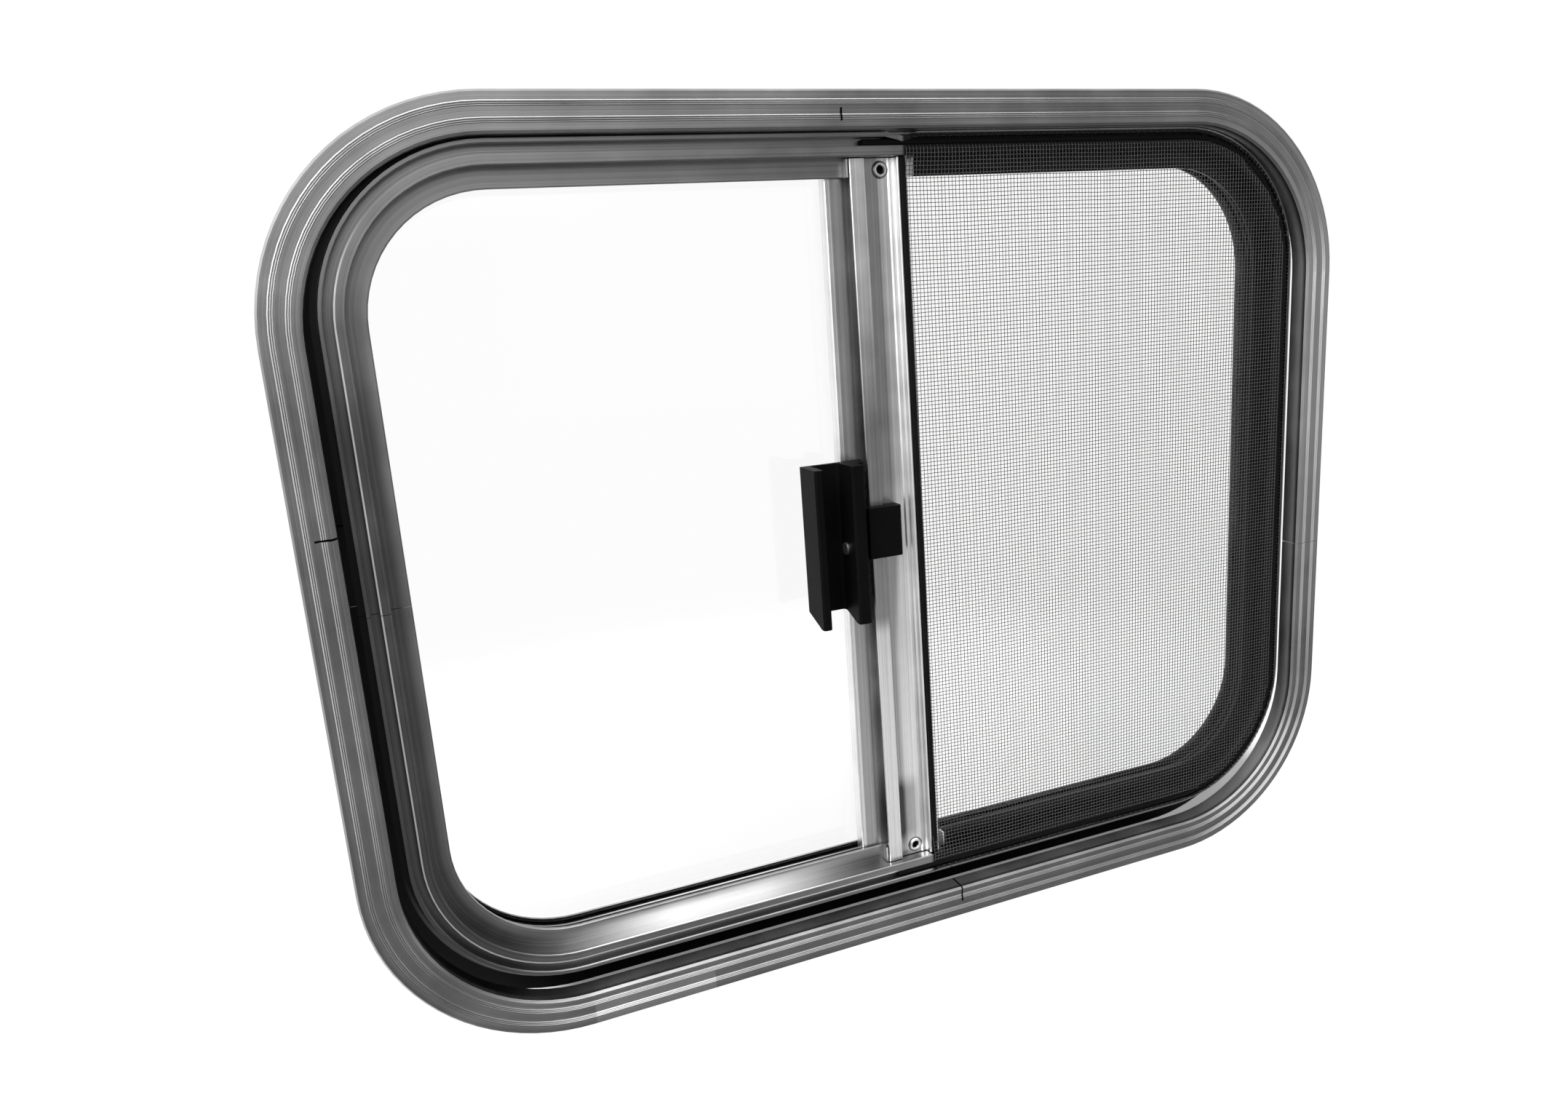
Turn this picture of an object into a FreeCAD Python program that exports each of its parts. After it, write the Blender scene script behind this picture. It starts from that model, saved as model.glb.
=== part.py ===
import FreeCAD, Part
import math
import os

# Radius-corner half slider window for a vehicle or boat wall, seen in use from its inner side.
# All lengths are millimetres. +Z is up, +Y points out of the vehicle and -Y into it.
# The pieces are drawn about the middle of the frame and written with the origin on the wall face
# of the outer flange, at the middle of its bottom run.
# An inset runs inwards from the outer edge of the frame, and a depth runs outwards, along +Y,
# from the inner face of the clamp ring.

# Edges eased by less than this are bevels, and larger ones are arcs
SMALLEST_ARC = 1.0

# Overall form
FRAME_WIDTH = 460.0
FRAME_HEIGHT = 358.0
CORNER_RADIUS = 80.0
WALL_GRIP = 25.0

# Main frame: outer flange, leg through the wall and shelf under the clamp ring
FLANGE_THICKNESS = 1.8
BODY_INSET = 16.0
SHELF_DEPTH = 9.4
METAL_WALL = 1.4
JOINT_GAP = 0.2

# Main frame: nose, groove and lip that hold the screen
NOSE_INSET = 18.3
NOSE_WIDTH = 2.0
NOSE_DEPTH = 5.4
NOSE_LOWERED = 6.4
GROOVE_WIDTH = 3.2
GROOVE_DEPTH = 9.8
LIP_WIDTH = 3.7
LIP_DEPTH = 5.8
SLOPE_START = 3.5
SLOPE_END = 13.5

# The nose is pinched in at the top, where it holds the end of the mullion's cord
PINCH_PLACE = 10.1
PINCH_HALF = 7.6
PINCH_INWARD = 1.8

# Main frame: ledge and the two glass pockets
SIGHT_INSET = 34.4
SIGHT_DEPTH = 13.0
POCKET_INSET = 31.2
POCKET_WIDTH = 6.4
POCKET_REACH = 8.0
DIVIDER_WALL = 1.0
OUTER_LIP_WALL = 1.6

# Clamp ring, which closes the cut-out from inside and lies a little askew on the shelf
RING_THICKNESS = 1.6
RING_EDGE_DEPTH = 3.0
RING_LEG_INSET = 12.6
RING_LEG_DEPTH = 9.1
RING_CROWN = 0.9
RIB_HEIGHT = 0.35
RIB_PITCH = 0.7
RIBS_IN_GROUP = 3
RIB_GROUP_INSETS = (3.5, 8.9)
RING_SLIP_X = -0.4
RING_SLIP_Z = -3.8
RING_JOINT_PLACE = -31.0

# Glass and the rubber that holds it
GLASS_THICKNESS = 3.0
GLASS_EDGE_ROOM = 1.0
GLASS_FIT = 0.1
RUBBER_WALL = 1.5
RUBBER_FIT = 0.05
RUBBER_RECESS = 0.4

# Sliding sash
STILE_LEFT = -20.6
STILE_RIGHT = 1.0
STILE_WALL = 1.2
STILE_RAIL = 0.35
STILE_RAIL_WIDTH = 0.9
STILE_END_ROOM = 0.3
PILE_INSET = 2.0
PILE_WIDTH = 5.0

# Division bar on the free edge of the fixed glass
BAR_LEFT = -17.4
BAR_RIGHT = -2.6
STILE_GRIP = 8.0

# Centre mullion of the insect screen, places along X from the middle of the frame.
# It leans to the left at its top by some tenths of a degree.
MULLION_LEAN = 0.38
FLANGE_LEFT = -10.9
WEB_LEFT = -4.4
GROOVE_LEFT = 10.1
EDGE_WALL = 1.0
MULLION_WALL = 1.2
CATCH_FLANGE_DEPTH = 8.8
EDGE_DEPTH = 7.4
WEB_RIB_PLACE = 6.1
WEB_RIB_HEIGHT = 0.5
WEB_RIB_WIDTH = 1.2
MULLION_SEAT = 0.1
MULLION_END_ROOM = 0.4

# Rivets and feet at the ends of the mullion
RIVET_INSET = 31.9
RIVET_PLACE = 3.0
RIVET_RADIUS = 3.0
RIVET_HOLE_RADIUS = 1.45
RIVET_HEIGHT = 0.9
FOOT_WALL = 0.8
FOOT_LEFT = -12.1
FOOT_RIGHT = 17.6
FOOT_HEIGHT = 3.2

# Insect screen
MESH_THICKNESS = 0.4
CORD_WIDTH = 2.3
SPLINE_FIT = 0.1
SPLINE_PROUD = 0.9
SPLINE_START = -7.0

# Black plastic latch on the sash stile, heights from the middle of the frame
LATCH_LEFT = -39.0
LATCH_TOP = 32.6
LATCH_BOTTOM = -34.0
PULL_WALL = 3.8
PULL_CHAMFER = 5.0
GRIP_FRONT_DEPTH = -1.5
GRIP_RIB_LEFT = -22.8
GRIP_RIB_RIGHT = -17.0
GRIP_FLOOR = 2.2
BASE_RIGHT = -11.6
BASE_THICKNESS = 2.0
CATCH_TOP = 13.0
CATCH_BOTTOM = -8.5
CATCH_FRONT_DEPTH = 4.2
CATCH_RIGHT = 1.6
CATCH_ROOM = 0.4
LATCH_FIT = 0.1
LATCH_SCREW_RADIUS = 2.6
LATCH_SCREW_HEIGHT = 0.8
LATCH_SCREW_DEPTH = 8.0
LATCH_SCREW_PLACE = -3.0


def depth(value):
    """The place along Y of a depth."""
    return value - WALL_GRIP - RING_THICKNESS


# Places along Y of the glass pockets, panes and bars
LEDGE = depth(SIGHT_DEPTH)
SASH_FRONT = LEDGE + METAL_WALL
SASH_BACK = SASH_FRONT + POCKET_WIDTH
FIXED_FRONT = SASH_BACK + DIVIDER_WALL
FIXED_BACK = FIXED_FRONT + POCKET_WIDTH
FRAME_BACK = FIXED_BACK + OUTER_LIP_WALL
SASH_GLASS_FRONT = (SASH_FRONT + SASH_BACK - GLASS_THICKNESS) / 2
SASH_GLASS_BACK = SASH_GLASS_FRONT + GLASS_THICKNESS
FIXED_GLASS_FRONT = (FIXED_FRONT + FIXED_BACK - GLASS_THICKNESS) / 2
FIXED_GLASS_BACK = FIXED_GLASS_FRONT + GLASS_THICKNESS
STILE_FRONT = SASH_GLASS_FRONT - GLASS_FIT - STILE_WALL
STILE_BACK = SASH_GLASS_BACK + GLASS_FIT + STILE_WALL
BAR_FRONT = FIXED_GLASS_FRONT - GLASS_FIT - STILE_WALL
BAR_BACK = FIXED_GLASS_BACK + GLASS_FIT + STILE_WALL
FOOT_FRONT = LEDGE - MULLION_SEAT - FOOT_WALL
WEB_BACK = FOOT_FRONT - MULLION_SEAT
WEB_FRONT = WEB_BACK - MULLION_WALL

# Insets and heights that several pieces share
POCKET_FLOOR = POCKET_INSET - POCKET_REACH
NOSE_INNER = NOSE_INSET + NOSE_WIDTH
LIP_OUTER = NOSE_INNER + GROOVE_WIDTH
LIP_INNER = LIP_OUTER + LIP_WIDTH
CORD_OUTER = LIP_OUTER - SPLINE_FIT - CORD_WIDTH
CORD_INNER = LIP_OUTER - SPLINE_FIT
HALF_HEIGHT = FRAME_HEIGHT / 2
HALF_CLEAR = HALF_HEIGHT - POCKET_INSET - STILE_END_ROOM
HALF_MULLION = HALF_HEIGHT - LIP_INNER - MULLION_END_ROOM
GROOVE_RIGHT = GROOVE_LEFT + CORD_WIDTH + 2 * SPLINE_FIT
MULLION_RIGHT = GROOVE_RIGHT + EDGE_WALL
MULLION_GROOVE_MIDDLE = (GROOVE_LEFT + GROOVE_RIGHT) / 2


def save(name, shape):
    """Writes one piece, with the origin moved down to the middle of the bottom flange."""
    placed = shape.translated(FreeCAD.Vector(0, 0, HALF_HEIGHT - BODY_INSET / 2))
    placed.exportStep("parts/" + name + ".step")


def box(x_low, x_high, y_low, y_high, z_low, z_high):
    """A box between two corners."""
    corner = FreeCAD.Vector(x_low, y_low, z_low)
    return Part.makeBox(x_high - x_low, y_high - y_low, z_high - z_low, corner)


def outline_face(corners):
    """A flat face in the plane Z = 0 from corners (x, y, ease), each eased by an arc or a bevel."""
    points = [FreeCAD.Vector(corner[0], corner[1], 0) for corner in corners]
    count = len(corners)
    joints = []
    for index in range(count):
        here = points[index]
        ease = corners[index][2]
        if ease <= 0:
            joints.append((here, None, here))
            continue
        back = (points[index - 1] - here).normalize()
        ahead = (points[(index + 1) % count] - here).normalize()
        half_angle = back.getAngle(ahead) / 2
        run = ease / math.tan(half_angle)
        start = here + back * run
        end = here + ahead * run
        to_centre = (back + ahead).normalize()
        middle = here + to_centre * (ease / math.sin(half_angle) - ease)
        joints.append((start, middle if ease >= SMALLEST_ARC else None, end))
    edges = []
    for index in range(count):
        start, middle, end = joints[index]
        if middle is not None:
            edges.append(Part.Arc(start, middle, end).toShape())
        elif start.distanceToPoint(end) > 1e-6:
            edges.append(Part.LineSegment(start, end).toShape())
        following = joints[(index + 1) % count][0]
        if end.distanceToPoint(following) > 1e-6:
            edges.append(Part.LineSegment(end, following).toShape())
    return Part.Face(Part.Wire(edges))


def bent_loop(corners):
    """A closed rounded-rectangle bar whose section is given as (inset, y, ease) corners."""
    centre = FreeCAD.Vector(0, 0, 0)
    across = FreeCAD.Vector(0, 1, 0)
    sides = ((FRAME_WIDTH, FRAME_HEIGHT), (FRAME_HEIGHT, FRAME_WIDTH))
    pieces = []
    for quarter in range(4):
        span, run = sides[quarter % 2]
        reach = span / 2
        length = run - 2 * CORNER_RADIUS
        section = outline_face([(reach - inset, y, ease) for inset, y, ease in corners])
        section.translate(FreeCAD.Vector(0, 0, -length / 2))
        bar = section.extrude(FreeCAD.Vector(0, 0, length))
        end = section.translated(FreeCAD.Vector(0, 0, length))
        bend = end.revolve(FreeCAD.Vector(reach - CORNER_RADIUS, 0, length / 2), across, -90)
        for piece in (bar, bend):
            piece.rotate(centre, across, -90 * quarter)
            pieces.append(piece)
    whole = pieces[0].fuse(pieces[1:]).removeSplitter()
    return whole.Solids[0] if len(whole.Solids) == 1 else whole


def rounded_plate(inset, y_low, y_high):
    """A plate that fills the bent frame up to an inset."""
    half_width = FRAME_WIDTH / 2 - inset
    half_height = HALF_HEIGHT - inset
    plate = box(-half_width, half_width, y_low, y_high, -half_height, half_height)
    upright_edges = [edge for edge in plate.Edges if abs(edge.tangentAt(edge.FirstParameter).y) > 0.9]
    return plate.makeFillet(CORNER_RADIUS - inset, upright_edges)


def between(shape, x_low, x_high):
    """The part of a shape between two upright planes."""
    y_low = depth(-1)
    slab = box(x_low, x_high, y_low, FRAME_BACK + 1, -FRAME_HEIGHT, FRAME_HEIGHT)
    return shape.common(slab)


def upright_bar(corners, z_low, z_high):
    """An upright bar whose section is given as (x, y, ease) corners."""
    face = outline_face(corners)
    face.translate(FreeCAD.Vector(0, 0, z_low))
    return face.extrude(FreeCAD.Vector(0, 0, z_high - z_low))


def main_frame_section():
    """The extrusion, from the flange up the leg, over the nose and lip and down the pockets."""
    shelf = depth(SHELF_DEPTH)
    return [
        (0, 0, 0),
        (BODY_INSET, 0, 0),
        (BODY_INSET, shelf, 0),
        (NOSE_INSET, shelf, 0),
        (NOSE_INSET, depth(NOSE_DEPTH), 0.4),
        (NOSE_INNER, depth(NOSE_DEPTH), 0.4),
        (NOSE_INNER, depth(GROOVE_DEPTH), 0),
        (LIP_OUTER, depth(GROOVE_DEPTH), 0),
        (LIP_OUTER, depth(LIP_DEPTH), 0),
        (LIP_INNER, depth(LIP_DEPTH), 0.3),
        (LIP_INNER, LEDGE, 0),
        (SIGHT_INSET, LEDGE, 0.3),
        (SIGHT_INSET, SASH_FRONT, 0),
        (POCKET_FLOOR, SASH_FRONT, 0),
        (POCKET_FLOOR, SASH_BACK, 0),
        (POCKET_INSET, SASH_BACK, 0),
        (POCKET_INSET, FIXED_FRONT, 0),
        (POCKET_FLOOR, FIXED_FRONT, 0),
        (POCKET_FLOOR, FIXED_BACK, 0),
        (POCKET_INSET, FIXED_BACK, 0),
        (POCKET_INSET, FRAME_BACK, 0.5),
        (BODY_INSET, FRAME_BACK, 0),
        (BODY_INSET - METAL_WALL, FLANGE_THICKNESS, 0),
        (0, FLANGE_THICKNESS, 0.6),
    ]


def frame_chamber_section():
    """The closed hollow between the leg and the pockets."""
    outer = BODY_INSET + METAL_WALL
    beside_lip = min(LIP_INNER, POCKET_FLOOR) - METAL_WALL
    beside_pocket = POCKET_FLOOR - METAL_WALL
    front = depth(GROOVE_DEPTH) + METAL_WALL
    back = FRAME_BACK - METAL_WALL
    return [
        (outer, front, 0),
        (beside_lip, front, 0),
        (beside_lip, SASH_FRONT, 0),
        (beside_pocket, SASH_FRONT, 0),
        (beside_pocket, back, 0),
        (outer, back, 0),
    ]


def lowered_nose(side):
    """What is cut off the nose along one side of the screen, with a sloping start."""
    low = depth(NOSE_LOWERED)
    top = depth(NOSE_DEPTH) - 1
    outer = side * (HALF_HEIGHT - NOSE_INSET + 1)
    inner = side * (HALF_HEIGHT - NOSE_INNER - PINCH_INWARD - 0.5)
    points = [(SLOPE_START, top), (SLOPE_END, low), (FRAME_WIDTH / 2 - CORNER_RADIUS, low)]
    points.append((FRAME_WIDTH / 2 - CORNER_RADIUS, top))
    wire = Part.makePolygon([FreeCAD.Vector(x, y, inner) for x, y in points + points[:1]])
    return Part.Face(wire).extrude(FreeCAD.Vector(0, 0, outer - inner))


def pinched_nose(ease):
    """The bent piece of the nose that holds the end of the mullion's cord, grown by an ease."""
    start = PINCH_PLACE - PINCH_HALF - ease
    end = PINCH_PLACE + PINCH_HALF + ease
    outer = HALF_HEIGHT - NOSE_INSET + ease
    inner = HALF_HEIGHT - NOSE_INNER - ease
    corners = [
        (start, outer),
        (PINCH_PLACE, outer - PINCH_INWARD),
        (end, outer),
        (end, inner),
        (PINCH_PLACE, inner - PINCH_INWARD),
        (start, inner),
    ]
    front = depth(NOSE_DEPTH)
    wire = Part.makePolygon([FreeCAD.Vector(x, front, z) for x, z in corners + corners[:1]])
    return Part.Face(wire).extrude(FreeCAD.Vector(0, GROOVE_DEPTH - NOSE_DEPTH, 0))


def main_frame():
    """The bent extrusion, butted halfway up its left side, with its nose lowered at the screen."""
    frame = bent_loop(main_frame_section()).cut(bent_loop(frame_chamber_section()))
    start = PINCH_PLACE - PINCH_HALF
    end = PINCH_PLACE + PINCH_HALF
    top = HALF_HEIGHT - NOSE_INSET
    straight = box(start, end, depth(NOSE_DEPTH) - 1, depth(SHELF_DEPTH), top - NOSE_WIDTH, top)
    frame = frame.cut(straight).fuse(pinched_nose(0))
    joint = box(-FRAME_WIDTH, 0, depth(-1), FRAME_BACK + 1, -JOINT_GAP / 2, JOINT_GAP / 2)
    nose = bent_loop([
        (NOSE_INSET - 0.5, depth(NOSE_DEPTH) - 1, 0),
        (NOSE_INNER + 0.5, depth(NOSE_DEPTH) - 1, 0),
        (NOSE_INNER + 0.5, depth(NOSE_LOWERED), 0),
        (NOSE_INSET - 0.5, depth(NOSE_LOWERED), 0),
    ])
    right_nose = between(nose, FRAME_WIDTH / 2 - CORNER_RADIUS, FRAME_WIDTH)
    return frame.cut([joint, right_nose, lowered_nose(1), lowered_nose(-1)])


def clamp_ring_section():
    """The ribbed face, its returned outer edge and the leg that lines the cut-out."""
    face = depth(0)
    under = depth(RING_THICKNESS)
    leg_inner = RING_LEG_INSET + RING_THICKNESS
    outline = [
        (0, depth(RING_EDGE_DEPTH), 0),
        (RING_THICKNESS, depth(RING_EDGE_DEPTH), 0),
        (RING_THICKNESS, under, 0),
        (RING_LEG_INSET, under, 0),
        (RING_LEG_INSET, depth(RING_LEG_DEPTH), 0),
        (leg_inner, depth(RING_LEG_DEPTH), 0),
        (leg_inner, face, RING_CROWN),
    ]
    for group in reversed(RIB_GROUP_INSETS):
        outline.append((group + RIBS_IN_GROUP * RIB_PITCH, face, 0))
        for rib in reversed(range(RIBS_IN_GROUP)):
            outline.append((group + (rib + 0.5) * RIB_PITCH, face - RIB_HEIGHT, 0))
            outline.append((group + rib * RIB_PITCH, face, 0))
    outline.append((0, face, 0.8))
    return outline


def clamp_ring():
    """The bent clamp ring, butted on its right side."""
    ring = bent_loop(clamp_ring_section())
    low = RING_JOINT_PLACE - JOINT_GAP / 2
    joint = box(0, FRAME_WIDTH, depth(-1), 0, low, low + JOINT_GAP)
    ring = ring.cut(joint)
    ring.translate(FreeCAD.Vector(RING_SLIP_X, 0, RING_SLIP_Z))
    return ring


def run_channel(front, back):
    """The rubber channel that lines one glass pocket all the way round."""
    outer = POCKET_FLOOR + RUBBER_FIT
    tip = POCKET_INSET - RUBBER_RECESS
    low = front + RUBBER_FIT
    high = back - RUBBER_FIT
    return bent_loop([
        (outer, low, 0),
        (tip, low, 0),
        (tip, low + RUBBER_WALL, 0),
        (outer + RUBBER_WALL, low + RUBBER_WALL, 0),
        (outer + RUBBER_WALL, high - RUBBER_WALL, 0),
        (tip, high - RUBBER_WALL, 0),
        (tip, high, 0),
        (outer, high, 0),
    ])


def pane(front, back, x_low, x_high):
    """One pane, rounded to the frame's corners and cut off at its free edge."""
    inset = POCKET_FLOOR + RUBBER_FIT + RUBBER_WALL + GLASS_EDGE_ROOM
    return between(rounded_plate(inset, front, back), x_low, x_high)


def sash_stile():
    """The channel that caps the sliding glass's leading edge, with a small raised rail."""
    inner = STILE_LEFT + STILE_WALL
    rail = STILE_LEFT + STILE_RAIL_WIDTH
    glass_front = SASH_GLASS_FRONT - GLASS_FIT
    glass_back = SASH_GLASS_BACK + GLASS_FIT
    return upright_bar([
        (STILE_LEFT, STILE_FRONT - STILE_RAIL, 0.3),
        (rail, STILE_FRONT - STILE_RAIL, 0.3),
        (rail, STILE_FRONT, 0),
        (STILE_RIGHT, STILE_FRONT, 0.3),
        (STILE_RIGHT, glass_front, 0),
        (inner, glass_front, 0),
        (inner, glass_back, 0),
        (STILE_LEFT + STILE_GRIP, glass_back, 0),
        (STILE_LEFT + STILE_GRIP, STILE_BACK, 0.3),
        (STILE_LEFT, STILE_BACK, 0.3),
    ], -HALF_CLEAR, HALF_CLEAR)


def division_bar():
    """The channel on the free edge of the fixed glass."""
    inner = BAR_RIGHT - STILE_WALL
    glass_front = FIXED_GLASS_FRONT - GLASS_FIT
    glass_back = FIXED_GLASS_BACK + GLASS_FIT
    return upright_bar([
        (BAR_LEFT, BAR_FRONT, 0.3),
        (BAR_RIGHT, BAR_FRONT, 0.3),
        (BAR_RIGHT, BAR_BACK, 0.3),
        (BAR_LEFT, BAR_BACK, 0.3),
        (BAR_LEFT, glass_back, 0),
        (inner, glass_back, 0),
        (inner, glass_front, 0),
        (BAR_LEFT, glass_front, 0),
    ], -HALF_CLEAR, HALF_CLEAR)


def pile_seal():
    """The brush strip between the stile and the division bar."""
    low = STILE_BACK + RUBBER_FIT
    high = BAR_FRONT - RUBBER_FIT
    left = STILE_LEFT + PILE_INSET
    return box(left, left + PILE_WIDTH, low, high, -HALF_CLEAR, HALF_CLEAR)


def centre_mullion():
    """The upright with its catch flange, ribbed web and spline groove."""
    flange = depth(CATCH_FLANGE_DEPTH)
    flange_back = flange + MULLION_WALL
    edge = depth(EDGE_DEPTH)
    floor = edge + GROOVE_DEPTH - LIP_DEPTH
    groove_wall = GROOVE_LEFT - EDGE_WALL
    bar = upright_bar([
        (FLANGE_LEFT, flange, 0.3),
        (WEB_LEFT, flange, 0.3),
        (WEB_LEFT, WEB_FRONT, 0),
        (WEB_RIB_PLACE, WEB_FRONT, 0),
        (WEB_RIB_PLACE + WEB_RIB_WIDTH / 2, WEB_FRONT - WEB_RIB_HEIGHT, 0),
        (WEB_RIB_PLACE + WEB_RIB_WIDTH, WEB_FRONT, 0),
        (groove_wall, WEB_FRONT, 0.6),
        (groove_wall, edge, 0.3),
        (GROOVE_LEFT, edge, 0.3),
        (GROOVE_LEFT, floor, 0),
        (GROOVE_RIGHT, floor, 0),
        (GROOVE_RIGHT, edge, 0.3),
        (MULLION_RIGHT, edge, 0.3),
        (MULLION_RIGHT, WEB_BACK, 0),
        (WEB_LEFT - MULLION_WALL, WEB_BACK, 0),
        (WEB_LEFT - MULLION_WALL, flange_back, 0),
        (FLANGE_LEFT, flange_back, 0.3),
    ], -HALF_MULLION, HALF_MULLION)
    return leaned(bar.cut([rivet_core(side) for side in (1, -1)]))


def leaned(shape):
    """A piece of the mullion turned with it about the middle of the frame."""
    shape.rotate(FreeCAD.Vector(0, 0, 0), FreeCAD.Vector(0, 1, 0), -MULLION_LEAN)
    return shape


def rivet_core(side):
    """The hole through a rivet, the web and the foot; side is 1 at the top and -1 at the bottom."""
    place = side * (HALF_HEIGHT - RIVET_INSET)
    start = FreeCAD.Vector(RIVET_PLACE, WEB_FRONT - RIVET_HEIGHT, place)
    return Part.makeCylinder(RIVET_HOLE_RADIUS, LEDGE - start.y, start, FreeCAD.Vector(0, 1, 0))


def hollow_rivet(side):
    """The rolled head of a hollow rivet, standing on the mullion's web."""
    place = side * (HALF_HEIGHT - RIVET_INSET)
    half = RIVET_HEIGHT / 2
    profile = outline_face([
        (RIVET_HOLE_RADIUS, WEB_FRONT, 0),
        (RIVET_RADIUS, WEB_FRONT, 0),
        (RIVET_RADIUS - half, WEB_FRONT - RIVET_HEIGHT, 0),
        (RIVET_HOLE_RADIUS + half, WEB_FRONT - RIVET_HEIGHT, 0),
    ])
    ring = profile.revolve(FreeCAD.Vector(0, 0, 0), FreeCAD.Vector(0, 1, 0), 360)
    ring.translate(FreeCAD.Vector(RIVET_PLACE, 0, place))
    return leaned(ring)


def mullion_foot(side):
    """The saddle between the ledge and the mullion, turned up at both sides."""
    sight = HALF_HEIGHT - SIGHT_INSET
    low, high = sorted((side * sight, side * HALF_MULLION))
    tip = FOOT_FRONT + FOOT_WALL - FOOT_HEIGHT
    saddle = upright_bar([
        (FOOT_LEFT, tip, 0),
        (FOOT_LEFT + FOOT_WALL, tip, 0),
        (FOOT_LEFT + FOOT_WALL, FOOT_FRONT, 0),
        (FOOT_RIGHT - FOOT_WALL, FOOT_FRONT, 0),
        (FOOT_RIGHT - FOOT_WALL, tip, 0),
        (FOOT_RIGHT, tip, 0),
        (FOOT_RIGHT, FOOT_FRONT + FOOT_WALL, 0),
        (FOOT_LEFT, FOOT_FRONT + FOOT_WALL, 0),
    ], low, high)
    return leaned(saddle.cut(rivet_core(side)))


def screen_mesh():
    """The stretched insect cloth over the right opening, laid over the lip and the mullion's edge."""
    front = depth(LIP_DEPTH) - MESH_THICKNESS - MULLION_SEAT
    sheet = rounded_plate(CORD_OUTER, front, front + MESH_THICKNESS)
    return between(sheet, MULLION_GROOVE_MIDDLE, FRAME_WIDTH)


def screen_spline():
    """The round rubber cord pressed into the groove round three sides of the screen."""
    top = depth(LIP_DEPTH) + SPLINE_FIT
    bottom = depth(GROOVE_DEPTH) - SPLINE_FIT
    ring = bent_loop([
        (CORD_OUTER, top, 0.5),
        (CORD_INNER, top, 0.5),
        (CORD_INNER, bottom, 0),
        (CORD_OUTER, bottom, 0),
    ])
    return between(ring, SPLINE_START, FRAME_WIDTH).cut(pinched_nose(SPLINE_FIT))


def mullion_spline():
    """The straight rubber cord in the mullion's groove."""
    left = GROOVE_LEFT + SPLINE_FIT
    right = left + CORD_WIDTH
    top = depth(EDGE_DEPTH) - SPLINE_PROUD
    bottom = depth(EDGE_DEPTH) + GROOVE_DEPTH - LIP_DEPTH - SPLINE_FIT
    return leaned(upright_bar([
        (left, top, 0.5),
        (right, top, 0.5),
        (right, bottom, 0.5),
        (left, bottom, 0.5),
    ], -HALF_MULLION, HALF_MULLION))


def latch_grip():
    """The channel-shaped grip: pull plate, floor and rib."""
    back = STILE_FRONT - STILE_RAIL - LATCH_FIT
    front = depth(GRIP_FRONT_DEPTH)
    floor = back - GRIP_FLOOR
    grip = upright_bar([
        (LATCH_LEFT, front, 0.8),
        (LATCH_LEFT + PULL_WALL, front, 0.8),
        (LATCH_LEFT + PULL_WALL, floor, 1.5),
        (GRIP_RIB_LEFT, floor, 1.5),
        (GRIP_RIB_LEFT, front, 0.8),
        (GRIP_RIB_RIGHT, front, 0.8),
        (GRIP_RIB_RIGHT, back, 0),
        (LATCH_LEFT, back, 0),
    ], LATCH_BOTTOM, LATCH_TOP)
    corner = Part.makePolygon([
        FreeCAD.Vector(LATCH_LEFT - 1, back + 1, LATCH_BOTTOM - 1),
        FreeCAD.Vector(LATCH_LEFT - 1, back + 1, LATCH_BOTTOM + PULL_CHAMFER),
        FreeCAD.Vector(LATCH_LEFT - 1, front, LATCH_BOTTOM - 1),
        FreeCAD.Vector(LATCH_LEFT - 1, back + 1, LATCH_BOTTOM - 1),
    ])
    wedge = Part.Face(corner).extrude(FreeCAD.Vector(GRIP_RIB_RIGHT - LATCH_LEFT + 2, 0, 0))
    return grip.cut(wedge)


def latch_base():
    """The plate that carries the catch and is fixed to the stile's face."""
    back = STILE_FRONT - LATCH_FIT
    left = STILE_LEFT + STILE_WALL + LATCH_FIT
    front = back - BASE_THICKNESS
    join = GRIP_RIB_RIGHT + LATCH_FIT
    grip_back = STILE_FRONT - STILE_RAIL
    return upright_bar([
        (left, grip_back, 0),
        (join, grip_back, 0),
        (join, depth(CATCH_FRONT_DEPTH) + 2, 0.8),
        (BASE_RIGHT - 2, depth(CATCH_FRONT_DEPTH) + 2, 0.8),
        (BASE_RIGHT - 2, front, 0),
        (BASE_RIGHT, front, 0.5),
        (BASE_RIGHT, back, 0),
        (left, back, 0),
    ], LATCH_BOTTOM + PULL_CHAMFER, LATCH_TOP)


def latch_catch():
    """The hook that reaches over the mullion's catch flange."""
    left = BASE_RIGHT - 2 + LATCH_FIT
    front = depth(CATCH_FRONT_DEPTH)
    over = depth(CATCH_FLANGE_DEPTH) - CATCH_ROOM
    tip = WEB_FRONT - CATCH_ROOM
    hook = WEB_LEFT + CATCH_ROOM
    return upright_bar([
        (left, front, 0),
        (CATCH_RIGHT, front, 0.8),
        (CATCH_RIGHT, tip, 0),
        (hook, tip, 0),
        (hook, over, 0),
        (left, over, 0),
    ], CATCH_BOTTOM, CATCH_TOP)


def latch_screw():
    """The metal screw head inside the grip."""
    start = FreeCAD.Vector(GRIP_RIB_LEFT - LATCH_SCREW_HEIGHT, depth(LATCH_SCREW_DEPTH), LATCH_SCREW_PLACE)
    return Part.makeCylinder(LATCH_SCREW_RADIUS, LATCH_SCREW_HEIGHT, start, FreeCAD.Vector(1, 0, 0))


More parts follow.
